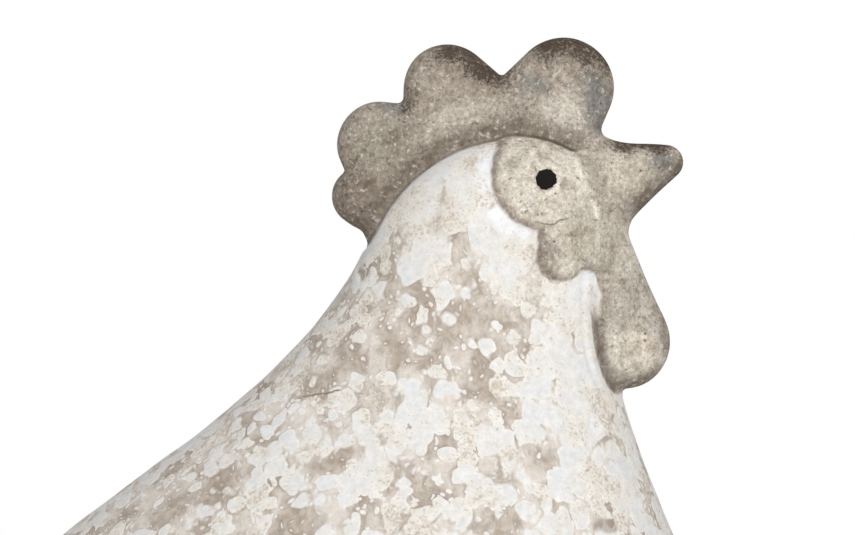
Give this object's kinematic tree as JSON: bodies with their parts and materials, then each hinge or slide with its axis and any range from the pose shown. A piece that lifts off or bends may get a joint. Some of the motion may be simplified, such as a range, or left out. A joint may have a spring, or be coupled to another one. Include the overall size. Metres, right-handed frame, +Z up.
{
  "type": "hen figurine",
  "caption": "Cast cement figurine of a hen with an upright comb, a wattle, punched eyes, folded wings and a fanned tail, standing on a low oval foot.",
  "frame": {"origin": "middle of the foot's underside, on the ground", "axes": "+X the way the hen faces, +Y to its left side, +Z up"},
  "size_m": [0.282, 0.1558, 0.3],
  "materials": {
    "cement": "matte, lime-whitewashed and weathered"
  },
  "bodies": {
    "root": {"hen_casting": "cement"}
  },
  "joints": []
}
